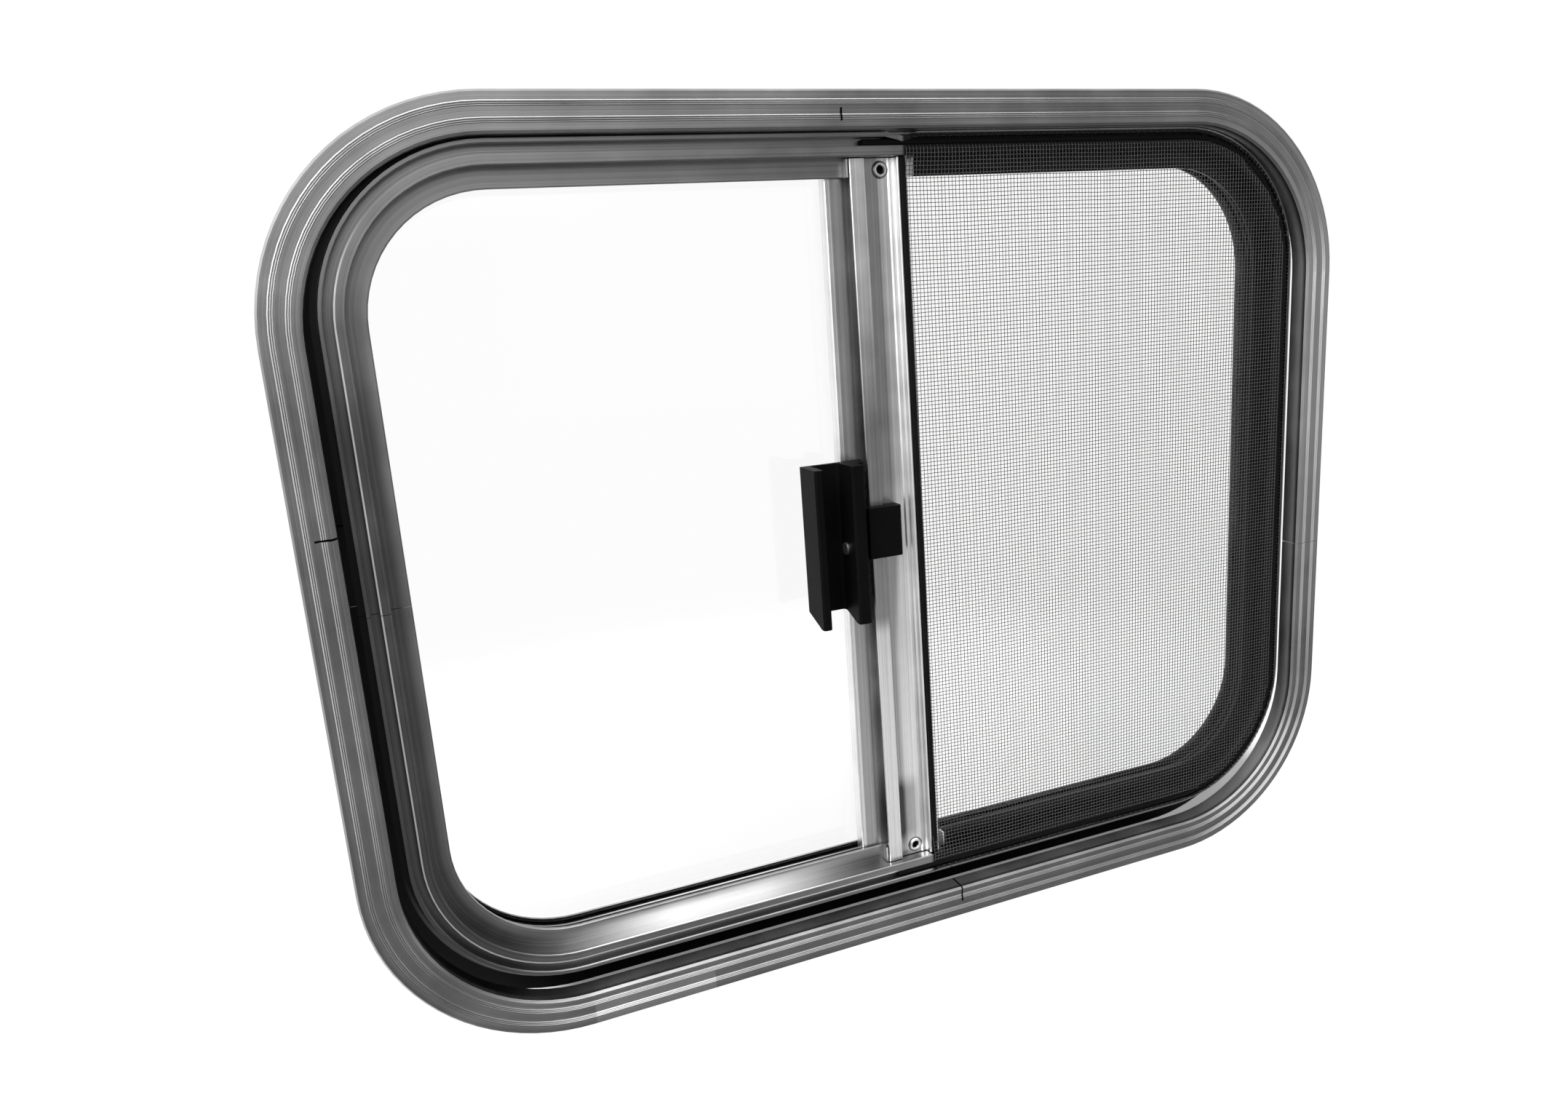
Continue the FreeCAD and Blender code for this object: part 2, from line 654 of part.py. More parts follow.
if __name__ == "__main__":
    os.makedirs("parts", exist_ok=True)
    save("main_frame", main_frame())
    save("clamp_ring", clamp_ring())
    save("sash_run_channel", run_channel(SASH_FRONT, SASH_BACK))
    save("fixed_glass_channel", run_channel(FIXED_FRONT, FIXED_BACK))
    glass_edge = BAR_RIGHT - STILE_WALL - GLASS_FIT
    save("fixed_glass", pane(FIXED_GLASS_FRONT, FIXED_GLASS_BACK, -FRAME_WIDTH, glass_edge))
    save("division_bar", division_bar())
    sash_edge = STILE_LEFT + STILE_WALL + GLASS_FIT
    save("sash_glass", pane(SASH_GLASS_FRONT, SASH_GLASS_BACK, sash_edge, FRAME_WIDTH))
    save("sash_stile", sash_stile())
    save("stile_pile_seal", pile_seal())
    save("centre_mullion", centre_mullion())
    for side, end in ((1, "top"), (-1, "bottom")):
        save("mullion_" + end + "_rivet", hollow_rivet(side))
        save("mullion_" + end + "_foot", mullion_foot(side))
    save("screen_mesh", screen_mesh())
    save("screen_spline", screen_spline())
    save("mullion_spline", mullion_spline())
    save("latch_grip", latch_grip())
    save("latch_base", latch_base())
    save("latch_catch", latch_catch())
    save("latch_screw", latch_screw())
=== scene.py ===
"""Looks for the radius-corner half slider window: metals, glass, rubber, plastic and screen cloth."""
import math

import bpy
from mathutils import Matrix, Vector


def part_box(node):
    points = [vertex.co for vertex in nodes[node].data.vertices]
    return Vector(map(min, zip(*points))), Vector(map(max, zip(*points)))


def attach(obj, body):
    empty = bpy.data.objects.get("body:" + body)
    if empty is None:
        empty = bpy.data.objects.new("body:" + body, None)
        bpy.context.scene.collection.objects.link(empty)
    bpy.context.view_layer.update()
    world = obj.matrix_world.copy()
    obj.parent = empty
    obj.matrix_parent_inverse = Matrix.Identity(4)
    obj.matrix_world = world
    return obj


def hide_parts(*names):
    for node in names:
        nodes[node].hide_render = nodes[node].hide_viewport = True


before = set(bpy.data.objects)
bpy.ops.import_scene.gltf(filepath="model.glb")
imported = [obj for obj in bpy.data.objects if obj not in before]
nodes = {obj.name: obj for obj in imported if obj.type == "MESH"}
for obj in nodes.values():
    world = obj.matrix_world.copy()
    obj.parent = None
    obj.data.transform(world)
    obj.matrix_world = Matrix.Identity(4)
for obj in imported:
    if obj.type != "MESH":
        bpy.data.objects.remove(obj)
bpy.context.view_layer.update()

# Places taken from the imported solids, in metres
RING_LOW, RING_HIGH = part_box("clamp_ring")
FRAME_LOW, FRAME_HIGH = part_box("main_frame")
FRAME_MIDDLE = (FRAME_LOW + FRAME_HIGH) / 2
RING_MIDDLE = (RING_LOW + RING_HIGH) / 2
RIDGE_HEIGHT = 0.00035
RING_FACE = RING_LOW.y + RIDGE_HEIGHT
SPLINE_LOW, SPLINE_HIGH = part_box("mullion_spline")
RIVET_BOXES = (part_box("mullion_top_rivet"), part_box("mullion_bottom_rivet"))
SCREEN_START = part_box("screen_spline")[0].x
STILE_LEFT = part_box("sash_stile")[0].x

# The rounded outline of frame and ring, in metres
CORNER_RADIUS = 0.080
HALF_WIDTH = 0.230
HALF_HEIGHT = 0.179
STRAIGHT_ACROSS = HALF_WIDTH - CORNER_RADIUS
STRAIGHT_UP = HALF_HEIGHT - CORNER_RADIUS

# The photograph's camera, measured from the middle of the ring's face
CAMERA_PLACE = Vector((-0.19754, -0.39003, 0.10298))
CAMERA_RIGHT = Vector((0.92988, -0.36116, -0.06989))
CAMERA_FORWARD = Vector((0.33774, 0.91348, -0.22691))
CAMERA_NEAR = 0.01
LENS_MM = 24.50
SENSOR_MM = 36.0

# Screen cloth, in metres: 16 threads to the inch
THREAD_PITCH = 0.00159
HALF_WAVE = math.pi / THREAD_PITCH
THREAD_RADIUS = 0.00016
THREAD_SIDES = 3
LONG_THREAD_POINTS = 48
CLOTH_LIFT = 0.00020
CLOTH_EDGE_INSET = 0.0188
LIP_INSET = 0.0235
NOSE_INNER_INSET = 0.0203
LIP_LEVEL = 0.0054
NOSE_LEVEL = 0.0060
BURIED_LEVEL = 0.0076
MULLION_LEVEL = 0.0070

# Where the cloth goes from one level to the next: distances from the mullion's groove, and insets
SUNK_SIDES = (0.040, 0.002)
SUNK_INSETS = (0.0275, 0.0360)
BURIED_INSETS = (LIP_INSET, LIP_INSET - 0.0006)
OUTSIDE_INSETS = (NOSE_INNER_INSET + 0.0002, NOSE_INNER_INSET - 0.0006)

# Uneven threads: scale across, layer of the noise, scale up, detail, and the range of the shift in metres
WAVER = (55.0, 0.0, 400.0, 2.0, 0.0004)
DRIFT = (18.0, 3.0, 18.0, 1.0, 0.0012)
SWAY = (400.0, 7.0, 30.0, 1.0, 0.0003)

# Bare metal: how fine its lines are, how short they are, and their detail
DIE_LINES = (1600.0, 1.5, 3.0)
FINE_LINES = (5200.0, 4.0, 2.0)

# Bare metal: scale and detail of its soft patches, and the roughness of all fine noise
PATCHES = (34.0, 3.0)
GRAIN_ROUGHNESS = 0.6

# Bare metal: how strongly lines and patches show, and the range of its grey as shares of the plain grey
DIE_LINE_STRENGTH = 1.3
FINE_LINE_STRENGTH = 0.7
PATCH_STRENGTH = 0.8
METAL_DARKEST = 0.62
METAL_LIGHTEST = 1.38
# The share of the plain grey that is left where shade is painted
PAINTED_SHADE_SHARE = 0.08
METAL_ROUGHNESS = 0.16
PATCH_ROUGHNESS = 0.22
LINE_ROUGHNESS = 0.10
LINE_BUMP_SHARE = 0.7
METAL_BUMP = 0.7
BUMP_DISTANCE = 0.00005

# Black rubber and plastic, whose patches have a scale, a detail and a roughness
MOULDED_SHINE = 0.04
MOULDED_PATCHES = (60.0, 2.0, 0.5)
MOULDED_GRAIN_DETAIL = 3.0
MOULDED_DARKEST = 0.6
MOULDED_LIGHTEST = 1.5
MOULDED_ROUGHNESS_RANGE = 0.18
MOULDED_BUMP = 0.5

# Marks, painted shade and painted highlights, in metres. Insets run inwards from the outline, and depths
# back from the ring's face.
# Sides run along X, and heights up from the middle of the frame or ring.
# A fade is 0 at its first number and 1 at its second. A band is 1 between its first two numbers.
# An edge is 1 up to its first number. The last number of a band or an edge is how soft it ends.

# Painted shade on the frame
SHELF_EDGE = (0.0180, 0.0004)
SHELF_DEPTH_BAND = (0.0070, 0.0120, 0.0010)
SHELF_LIGHTER_HEIGHTS = (-0.10, -0.14)
SHELF_LIGHTER_SHARE = 0.6
GROOVE_BAND = (0.0206, 0.0232, 0.0003)
GROOVE_DEPTH_BAND = (0.0066, 0.0110, 0.0004)
COVERED_BAND = (0.0191, 0.0360, 0.0003)
SCREEN_SIDES = (SCREEN_START, SCREEN_START + 0.002)
COVERED_SIDES = (SPLINE_LOW.x, SPLINE_LOW.x + 0.002)
FLANGE_EDGE = (0.0175, 0.0004)
FLANGE_DEPTH_BAND = (0.0255, 0.0270, 0.0003)
SHADED_LEFT_SIDES = (-0.15, -0.19)
SHADED_LEFT_HEIGHTS = (0.14, 0.05)
NOSE_BAND = (0.0175, 0.0232, 0.0003)
NOSE_SHADE_SHARE = 0.45
SLOPE_BAND = (0.0242, 0.0300, 0.0030)
SLOPE_SHADE_SHARE = 0.50

# The ring's leg: painted shade on the left, and a painted highlight on the right and at the bottom
LEFTWARD_SIDES = (-0.12, -0.19)
LEG_BAND = (0.0134, 0.0300, 0.0003)
DARK_LEG_DEPTHS = (0.0020, 0.0046)
BRIGHT_LEG_DEPTHS = (0.0015, 0.0035)
BRIGHT_LEG_SIDES = (-0.12, 0.14)
LOW_LEG_HEIGHTS = (-0.13, -0.16)
LOW_LEG_SIDES = (-0.19, -0.12)

# Painted highlights on the ring's ridges, strongest on the left and weakest at the bottom
RIDGE_DEPTHS = (-0.00004, -0.00026)
RIDGE_RIGHT_HIGHLIGHT = 0.55
RIDGE_LOW_HEIGHTS = (-0.06, -0.14)
RIDGE_LOW_LOSS = 0.90
HIGHLIGHT_GREY = 0.95

# The patch of tape at the bottom left, with its sides measured from the middle of the ring
TAPE_BAND = (-0.149, -0.098, 0.0002)
TAPE_EDGE = (0.0088, 0.0002)
TAPE_STRENGTH = 0.45
TAPE_GREY = 0.62

# Painted highlights along the frame's lip, and on part of the slope at the bottom
LIP_HIGHLIGHT_BAND = (LIP_INSET, LIP_INSET + 0.0005, 0.0002)
LIP_HIGHLIGHT_DEPTHS = (0.0063, 0.0059)
LIP_HIGHLIGHT_HEIGHTS = (0.14, 0.11)
LIP_HIGHLIGHT_SIDES = (SCREEN_START, SCREEN_START - 0.003)
SLOPE_HIGHLIGHT_BAND = (0.0275, 0.0325, 0.0015)
SLOPE_HIGHLIGHT_HEIGHTS = (-0.10, -0.14)
SLOPE_HIGHLIGHT_SIDE_BAND = (-0.105, -0.075, 0.06)
SLOPE_HIGHLIGHT_GREY = 0.90

# Each pen mark is its middle from the middle of the ring, then half its length across and up
PEN_MARKS = (
    (-0.2186, 0.0345, 0.0042, 0.0003),
    (-0.0179, 0.1699, 0.0003, 0.0023),
    (0.0221, -0.1645, 0.0003, 0.0070),
)
PEN_SOFTNESS = 0.0002
PEN_WANDER = 0.0012
PEN_WANDER_SCALE = 260.0
PEN_GREY = 0.004

# Rivets: painted shade in the bore, and in a thin line round the head
BORE_DISTANCES = (0.0018, 0.0014)
HEAD_LINE_BAND = (0.0030, 0.0033, 0.0003)
HEAD_LINE_STRENGTH = 0.8

# The mullion leans. Shade is painted on its web beside the flange, on its flange beside the latch and above
# it, and on a patch low on the web.
MULLION_LEAN = 0.0066
WEB_DEPTHS = (0.0095, 0.0102)
WEB_SHADE_START = 0.0010
WEB_SHADE_SHIFT = 0.0030
WEB_SHADE_HEIGHTS = (-0.06, 0.0)
WEB_FADE = 0.0035
WEB_SHADE_SHARE = 0.58
CATCH_FLANGE_SIDES = (-0.0034, -0.0042)
CATCH_FLANGE_UPPER_HEIGHTS = (0.12, 0.03)
CATCH_FLANGE_LOWER_HEIGHTS = (-0.045, -0.035)
CATCH_FLANGE_SHADE_SHARE = 0.65
WEB_PATCH_BAND = (-0.138, -0.120, 0.010)
WEB_PATCH_SIDES = (0.008, 0.002)
WEB_PATCH_SHADE_SHARE = 0.50

# Painted shade on the stile's face, with its sides measured from the stile's left edge
STILE_LOW = 0.0026
STILE_HIGH = 0.0080
STILE_SOFTNESS = 0.0006
STILE_SHADE_SHARE = 0.52

# The room that the metals mirror. Sides, ahead and up are parts of the direction in which it is seen.
ROOM_LEVEL = 0.20
LEFT_WALL_LEVEL = 0.68
LEFT_WALL_SIDES = (-0.30, -0.90)
LEFT_WALL_UPPER = (0.85, 0.30)
LEFT_WALL_LOWER = (-0.80, -0.20)
UPPER_WALL_LEVEL = 1.15
UPPER_WALL_SIDES = (0.32, 0.16)
UPPER_WALL_LOWER = (0.06, 0.14)
CEILING_LEVEL = 0.55
CEILING_LOWER = (0.32, 0.62)
BEHIND_WINDOW = (0.05, 0.55)

# Bright areas of the room: level, band of sides, and band upwards
ROOM_AREAS = {
    "right window": (0.70, (0.68, 0.95, 0.05), (-0.20, 0.10, 0.05)),
    "pale strip": (0.24, (0.18, 0.55, 0.08), (-0.06, 0.07, 0.04)),
    "low band": (0.25, (-0.40, 0.50, 0.05), (-0.42, -0.30, 0.03)),
    "low window": (1.20, (0.37, 0.52, 0.03), (-0.62, -0.32, 0.04)),
}

# The floor ends in front of the window, so that the metals mirror the room there
FLOOR_SIDE = 0.80
FLOOR_FRONT = -0.06
FLOOR_BACK = 0.90
FLOOR_GAP = 0.0002
FLOOR_ROUGHNESS = 0.8
FLOOR_PALE = 0.86
FLOOR_DARK = 0.18
FLOOR_NEAR_WHITE = 0.80

# The floor's fades: to dark and to white in front, to white far out, and to white in the metals behind
DARK_FRONT = (-0.010, -0.024)
WHITE_FRONT = (0.0, -0.010)
WHITE_DISTANCES = (0.25, 0.60)
MIRRORED_BACK = (-0.02, 0.05)

# The contact shadow along the window's foot, and its short curved end at the lower right corner
CONTACT_BAND = (-0.008, 0.020, 0.006)
CONTACT_EDGE = (STRAIGHT_ACROSS, 0.03)
CONTACT_STRENGTH = 0.95
CURVE_START = 0.180
CURVE_OFFSET = 0.0073
CURVE_SLOPE = 0.30
CURVE_BEND = 1.95
CURVE_SIDE_BAND = (0.150, 0.245, 0.045)
CURVE_EDGE = (0.008, 0.013)
CURVE_STRENGTH = 0.90

# The point at which the lamps are aimed
WINDOW_MIDDLE = Vector((0.0, 0.0, 0.17))


class Value:
    """A socket that takes part in Python expressions."""

    def __init__(self, tree, socket):
        self.tree = tree
        self.socket = socket

    def maths(self, operation, *inputs):
        return self.tree.node("ShaderNodeMath", {"operation": operation}, dict(enumerate(inputs)))

    def __add__(self, other):
        return self.maths("ADD", self, other)

    __radd__ = __add__

    def __sub__(self, other):
        return self.maths("SUBTRACT", self, other)

    def __rsub__(self, other):
        return self.maths("SUBTRACT", other, self)

    def __mul__(self, other):
        return self.maths("MULTIPLY", self, other)

    __rmul__ = __mul__

    def __truediv__(self, other):
        return self.maths("DIVIDE", self, other)

    def __abs__(self):
        return self.maths("ABSOLUTE", self)

    def root(self):
        return self.maths("SQRT", self)

    def sine(self):
        return self.maths("SINE", self)

    def cosine(self):
        return self.maths("COSINE", self)

    def at_least(self, other):
        return self.maths("MAXIMUM", self, other)

    def at_most(self, other):
        return self.maths("MINIMUM", self, other)

    def below(self, other):
        return self.maths("LESS_THAN", self, other)


class Tree:
    """A node tree and the one way in which nodes are added to it."""

    def __init__(self, tree):
        self.nodes = tree.nodes
        self.links = tree.links

    def node(self, kind, settings, inputs, output=0):
        made = self.nodes.new(kind)
        for name, value in settings.items():
            setattr(made, name, value)
        for name, value in inputs.items():
            self.feed(made.inputs[name], value)
        return Value(self, made.outputs[output]) if made.outputs else None

    def feed(self, socket, value):
        if isinstance(value, (list, tuple)) and value and isinstance(value[0], Value):
            for item in value:
                self.links.new(item.socket, socket)
        elif isinstance(value, Value):
            self.links.new(value.socket, socket)
        else:
            socket.default_value = value

    def split(self, vector):
        x = self.node("ShaderNodeSeparateXYZ", {}, {"Vector": vector})
        made = x.socket.node
        return x, Value(self, made.outputs["Y"]), Value(self, made.outputs["Z"])

    def join(self, x, y, z):
        return self.node("ShaderNodeCombineXYZ", {}, {"X": x, "Y": y, "Z": z})

    def noise(self, vector, scale, detail, roughness=0.5):
        inputs = {"Vector": vector, "Scale": scale, "Detail": detail, "Roughness": roughness}
        return self.node("ShaderNodeTexNoise", {"noise_dimensions": "3D"}, inputs)

    def between(self, value, low, high):
        """0 at low, 1 at high, and smooth between."""
        inputs = {"Value": value, "From Min": low, "From Max": high}
        return self.node("ShaderNodeMapRange", {"interpolation_type": "SMOOTHSTEP"}, inputs)

    def within(self, value, reach, soft):
        """1 up to a reach and 0 beyond it, with a soft end."""
        return 1 - self.between(value, reach, reach + soft)

    def span(self, value, low, high, soft):
        """1 inside a range and 0 outside it, with soft ends."""
        return self.between(value, low - soft, low) * self.within(value, high, soft)

    def inset(self, x, z, middle):
        """How far inwards a point is from a rounded outline as large as the frame."""
        across = (abs(x - middle.x) - STRAIGHT_ACROSS).at_least(0.0)
        along = (abs(z - middle.z) - STRAIGHT_UP).at_least(0.0)
        return CORNER_RADIUS - (across * across + along * along).root()

    def rays(self):
        """Whether a ray comes from the camera, from a mirroring surface or through glass."""
        path = self.node("ShaderNodeLightPath", {}, {}).socket.node
        kinds = ("Is Camera Ray", "Is Glossy Ray", "Is Transmission Ray")
        return [Value(self, path.outputs[kind]) for kind in kinds]


class Material(Tree):
    """A material with one Principled shader and the nodes that vary it."""

    def __init__(self, name, **constants):
        self.material = bpy.data.materials.new(name)
        self.material.use_nodes = True
        super().__init__(self.material.node_tree)
        self.shader = self.nodes["Principled BSDF"]
        for socket, value in constants.items():
            self.shader.inputs[socket.replace("_", " ")].default_value = value

    def drive(self, socket, value):
        self.feed(self.shader.inputs[socket], value)

    def place(self):
        return self.split(self.node("ShaderNodeTexCoord", {}, {}, "Object"))

    def blend(self, factor, first, second):
        """A colour between two greys or colours."""
        colours = [(part, part, part, 1) if isinstance(part, float) else part for part in (first, second)]
        inputs = {0: factor, 6: colours[0], 7: colours[1]}
        return self.node("ShaderNodeMix", {"data_type": "RGBA"}, inputs, 2)

    def lines(self, across, deep, along, fineness, shortness, detail):
        """Noise drawn out along the metal."""
        place = self.join(across * fineness, deep * fineness, along * shortness)
        return self.noise(place, 1.0, detail, GRAIN_ROUGHNESS)

    def bump(self, height, strength):
        inputs = {"Height": height, "Distance": BUMP_DISTANCE, "Strength": strength}
        self.drive("Normal", self.node("ShaderNodeBump", {}, inputs))


def dress(node, material):
    """Gives a CAD node its material."""
    mesh = nodes[node].data
    mesh.materials.clear()
    mesh.materials.append(material.material)


def pen_mask(metal, x, z):
    """1 on the short black pen strokes."""
    mask = 0.0
    wander = (metal.noise(metal.join(x, 0.0, z), PEN_WANDER_SCALE, 1.0) - 0.5) * PEN_WANDER
    for place_x, place_z, half_x, half_z in PEN_MARKS:
        across = abs(x + wander - (RING_MIDDLE.x + place_x))
        up = abs(z + wander - (RING_MIDDLE.z + place_z))
        stroke = metal.within(across, half_x, PEN_SOFTNESS) * metal.within(up, half_z, PEN_SOFTNESS)
        mask = stroke.at_least(mask)
    return mask


def rivet_distance(metal, x, z):
    """How far a point is from the middle of the nearer rivet."""
    distance = 1.0
    for low, high in RIVET_BOXES:
        across = x - (low.x + high.x) / 2
        up = z - (low.z + high.z) / 2
        distance = (across * across + up * up).root().at_most(distance)
    return distance


def frame_shade(metal, x, z, inset, deep):
    """1 where shade is painted on the frame: shelf, groove, under the cloth, rivet bores, left side, inside
    the wall.
    """
    up = z - FRAME_MIDDLE.z
    # Painted shade on the shelf, lighter at the bottom
    shelf = metal.within(inset, *SHELF_EDGE) * metal.span(deep, *SHELF_DEPTH_BAND)
    shelf = shelf * (1.0 - SHELF_LIGHTER_SHARE * metal.between(up, *SHELF_LIGHTER_HEIGHTS))
    groove = metal.span(inset, *GROOVE_BAND) * metal.span(deep, *GROOVE_DEPTH_BAND)
    groove = groove * metal.between(x, *SCREEN_SIDES)
    covered = metal.span(inset, *COVERED_BAND) * metal.between(x, *COVERED_SIDES)
    flange = metal.within(inset, *FLANGE_EDGE) * metal.span(deep, *FLANGE_DEPTH_BAND)
    bores = metal.between(rivet_distance(metal, x, z), *BORE_DISTANCES)
    # Painted shade on the nose and the slope at the lower left
    left_side = metal.between(x, *SHADED_LEFT_SIDES) * metal.between(up, *SHADED_LEFT_HEIGHTS)
    nose = NOSE_SHADE_SHARE * metal.span(inset, *NOSE_BAND)
    slope = SLOPE_SHADE_SHARE * metal.span(inset, *SLOPE_BAND)
    left_side = left_side * (nose + slope)
    return (shelf + groove + covered + flange + bores + left_side).at_most(1.0)


def ring_leg(metal, inset, deep, depths):
    """1 on the inner face of the ring's leg, from a depth inwards."""
    return metal.span(inset, *LEG_BAND) * metal.between(deep, *depths)


def ring_shade(metal, x, z, inset, deep):
    """1 on the left side of the ring's leg, where shade is painted inside the wall."""
    return ring_leg(metal, inset, deep, DARK_LEG_DEPTHS) * metal.between(x, *LEFTWARD_SIDES)


def bore_shade(metal, x, z, inset, deep):
    """1 inside the rivets' bores, and nearly so in a thin line round each head: painted shade."""
    distance = rivet_distance(metal, x, z)
    line = metal.span(distance, *HEAD_LINE_BAND)
    return (metal.between(distance, *BORE_DISTANCES) + HEAD_LINE_STRENGTH * line).at_most(1.0)


def mullion_shade(metal, x, z, inset, deep):
    """Painted shade at the rivets' dark lines, and at places on the web and on the catch flange."""
    up = z - FRAME_MIDDLE.z
    leaned = x + up * MULLION_LEAN
    web = metal.between(deep, *WEB_DEPTHS)
    edge = metal.between(up, *WEB_SHADE_HEIGHTS) * WEB_SHADE_SHIFT + WEB_SHADE_START
    web_shade = metal.between(leaned, edge, edge - WEB_FADE) * web
    flange = metal.between(up, *CATCH_FLANGE_UPPER_HEIGHTS) * metal.between(up, *CATCH_FLANGE_LOWER_HEIGHTS)
    flange = flange * metal.between(leaned, *CATCH_FLANGE_SIDES)
    patch = metal.span(up, *WEB_PATCH_BAND) * metal.between(leaned, *WEB_PATCH_SIDES) * web
    places = WEB_SHADE_SHARE * web_shade + CATCH_FLANGE_SHADE_SHARE * flange + WEB_PATCH_SHADE_SHARE * patch
    return (bore_shade(metal, x, z, inset, deep) + places).at_most(1.0)


def stile_shade(metal, x, z, inset, deep):
    """Painted shade on the stile's face behind its light edge."""
    return STILE_SHADE_SHARE * metal.span(x, STILE_LEFT + STILE_LOW, STILE_LEFT + STILE_HIGH, STILE_SOFTNESS)


def ring_marks(metal, colour, x, z, inset, deep):
    """The colour with painted highlights on the ring's ridges and on part of its leg, and the tape."""
    up = z - RING_MIDDLE.z
    # Painted highlight on the ridges: full on the left, weaker on the right and at the bottom
    ridge_light = RIDGE_RIGHT_HIGHLIGHT + (1 - RIDGE_RIGHT_HIGHLIGHT) * metal.between(x, *LEFTWARD_SIDES)
    ridges = metal.between(deep, *RIDGE_DEPTHS) * ridge_light
    ridges = ridges * (1.0 - RIDGE_LOW_LOSS * metal.between(up, *RIDGE_LOW_HEIGHTS))
    colour = metal.blend(ridges, colour, HIGHLIGHT_GREY)
    # Painted highlight on the leg's inner face, on the right and at the bottom
    low_leg = metal.between(up, *LOW_LEG_HEIGHTS) * metal.between(x, *LOW_LEG_SIDES)
    bright = metal.between(x, *BRIGHT_LEG_SIDES).at_least(low_leg)
    colour = metal.blend(ring_leg(metal, inset, deep, BRIGHT_LEG_DEPTHS) * bright, colour, HIGHLIGHT_GREY)
    tape = metal.span(x - RING_MIDDLE.x, *TAPE_BAND) * metal.between(z, RING_MIDDLE.z, 0.0)
    tape = tape * metal.within(inset, *TAPE_EDGE)
    return metal.blend(TAPE_STRENGTH * tape, colour, TAPE_GREY)


def outline_marks(metal, colour, x, z, inset, deep, middle):
    """The colour with painted highlights along the lip and on the slope at the bottom, and the pen strokes.
    """
    up = z - middle.z
    # Painted highlight along the lip's edge, on the left and below the top
    lip_highlight = metal.span(inset, *LIP_HIGHLIGHT_BAND) * metal.between(deep, *LIP_HIGHLIGHT_DEPTHS)
    lip_highlight = lip_highlight * metal.between(up, *LIP_HIGHLIGHT_HEIGHTS) * metal.between(x, *LIP_HIGHLIGHT_SIDES)
    colour = metal.blend(lip_highlight, colour, HIGHLIGHT_GREY)
    # Painted highlight on part of the slope at the bottom
    slope_highlight = metal.span(inset, *SLOPE_HIGHLIGHT_BAND) * metal.between(up, *SLOPE_HIGHLIGHT_HEIGHTS)
    slope_highlight = slope_highlight * metal.span(x, *SLOPE_HIGHLIGHT_SIDE_BAND)
    colour = metal.blend(slope_highlight, colour, SLOPE_HIGHLIGHT_GREY)
    return metal.blend(pen_mask(metal, x, z), colour, PEN_GREY)


def drawn_metal(name, grey, shade, middle=None, ring=False):
    """Bare extruded aluminium with die lines along its length, which follow the outline round a middle."""
    metal = Material(name, Metallic=1.0)
    x, y, z = metal.place()
    across = metal.inset(x, z, middle) if middle else x
    along = (x + z) if middle else z
    deep = y - RING_FACE
    lines = metal.lines(across, y, along, *DIE_LINES)
    fine = metal.lines(across, y, along, *FINE_LINES)
    patches = metal.noise(metal.join(x, y, z), *PATCHES, GRAIN_ROUGHNESS)
    tone = (lines - 0.5) * DIE_LINE_STRENGTH + (fine - 0.5) * FINE_LINE_STRENGTH
    level = (tone + (patches - 0.5) * PATCH_STRENGTH + 0.5).at_least(0.0).at_most(1.0)
    colour = metal.blend(level, grey * METAL_DARKEST, grey * METAL_LIGHTEST)
    # Painted shade: each piece's shade mask darkens its grey
    colour = metal.blend(shade(metal, x, z, across, deep), colour, grey * PAINTED_SHADE_SHARE)
    if ring:
        colour = ring_marks(metal, colour, x, z, across, deep)
    if middle:
        colour = outline_marks(metal, colour, x, z, across, deep, middle)
    metal.drive("Base Color", colour)
    metal.drive("Roughness", METAL_ROUGHNESS + PATCH_ROUGHNESS * patches + LINE_ROUGHNESS * lines)
    metal.bump(lines * LINE_BUMP_SHARE + fine * (1 - LINE_BUMP_SHARE), METAL_BUMP)
    return metal


def rubber_or_plastic(name, grey, roughness, grain):
    """A black moulded finish with a fine grain."""
    made = Material(name, Specular_IOR_Level=MOULDED_SHINE)
    x, y, z = made.place()
    place = made.join(x, y, z)
    speckle = made.noise(place, grain, MOULDED_GRAIN_DETAIL, GRAIN_ROUGHNESS)
    soft = made.noise(place, *MOULDED_PATCHES)
    made.drive("Base Color", made.blend(soft, grey * MOULDED_DARKEST, grey * MOULDED_LIGHTEST))
    made.drive("Roughness", roughness + MOULDED_ROUGHNESS_RANGE * (speckle - 0.5))
    made.bump(speckle, MOULDED_BUMP)
    return made


# The ring and frame are the same bare aluminium as the uprights; their low greys are painted shade
ring_metal = drawn_metal("ring_aluminium", grey=0.32, shade=ring_shade, middle=RING_MIDDLE, ring=True)
frame_metal = drawn_metal("frame_aluminium", grey=0.29, shade=frame_shade, middle=FRAME_MIDDLE)
upright_metal = drawn_metal("upright_aluminium", grey=0.86, shade=mullion_shade)
stile_metal = drawn_metal("stile_aluminium", grey=0.86, shade=stile_shade)
rivet_metal = drawn_metal("rivet_aluminium", grey=0.80, shade=bore_shade)
rubber = rubber_or_plastic("black_rubber", grey=0.006, roughness=0.70, grain=1400.0)
plastic = rubber_or_plastic("black_plastic", grey=0.003, roughness=0.48, grain=2600.0)
glass = Material("clear_glass", Roughness=0.0, Base_Color=(1, 1, 1, 1), Transmission_Weight=1.0, IOR=1.45)
cloth = Material("screen_cloth", Roughness=0.5, Base_Color=(0.06, 0.06, 0.06, 1))

